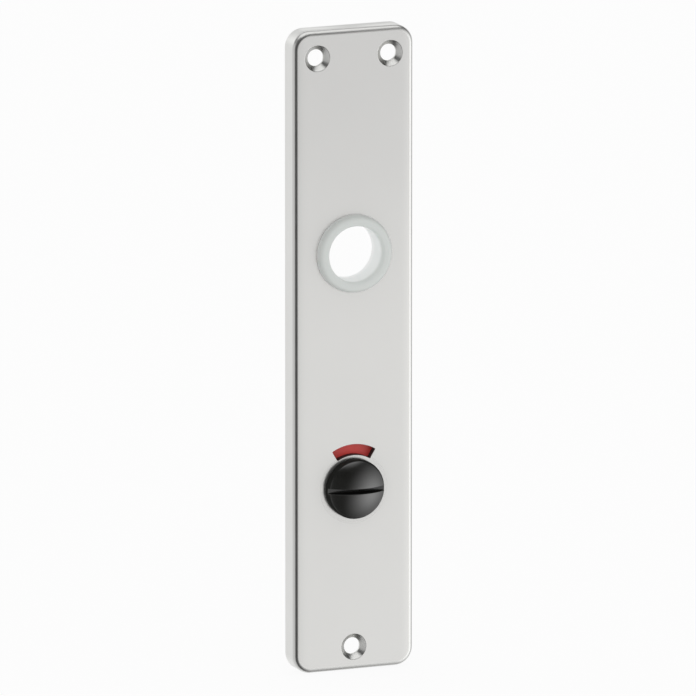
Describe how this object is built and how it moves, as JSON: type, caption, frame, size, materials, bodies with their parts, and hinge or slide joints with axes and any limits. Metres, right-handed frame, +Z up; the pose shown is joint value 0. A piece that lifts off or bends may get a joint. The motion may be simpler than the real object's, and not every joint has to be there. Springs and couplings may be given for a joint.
{
  "type": "toilet door backplate",
  "caption": "Long aluminium door backplate with a plastic lever bush, a coin-slotted release knob and a turning red and green indicator behind an arc window.",
  "frame": {"origin": "axis of the lever handle's hole where it meets the door surface", "axes": "+Z up along the plate, +Y out of the plate's back into the door, -Y out of its front, +X to the right seen from the front"},
  "size_m": [0.0418, 0.014, 0.2128],
  "materials": {
    "plate_aluminium": "satin natural anodised",
    "bush_plastic": "pale translucent nylon",
    "knob_plastic": "glossy black",
    "disc_plastic": "moulded white",
    "red_colour": "glossy red",
    "green_colour": "glossy green",
    "socket_metal": "die-cast, plated",
    "washer_steel": "zinc plated",
    "ring_steel": "dark phosphated",
    "spring_steel": "bright spring steel",
    "pin_steel": "plain"
  },
  "bodies": {
    "plate": {"cover_plate": "plate_aluminium", "handle_bush": "bush_plastic", "bush_washer": "washer_steel", "bush_circlip": "ring_steel", "stop_pin": "pin_steel"},
    "release": {"release_knob": "knob_plastic", "spindle_socket": "socket_metal", "indicator_disc": "disc_plastic", "red_field": "red_colour", "green_field": "green_colour", "wave_washer": "spring_steel", "thrust_washer": "washer_steel", "knob_circlip": "ring_steel"}
  },
  "joints": [
    {"name": "release_turn", "type": "hinge", "parent": "plate", "child": "release", "pos_m": [0, 0, -0.078], "axis": [0, 1, 0], "range_deg": [-4, 86]}
  ]
}
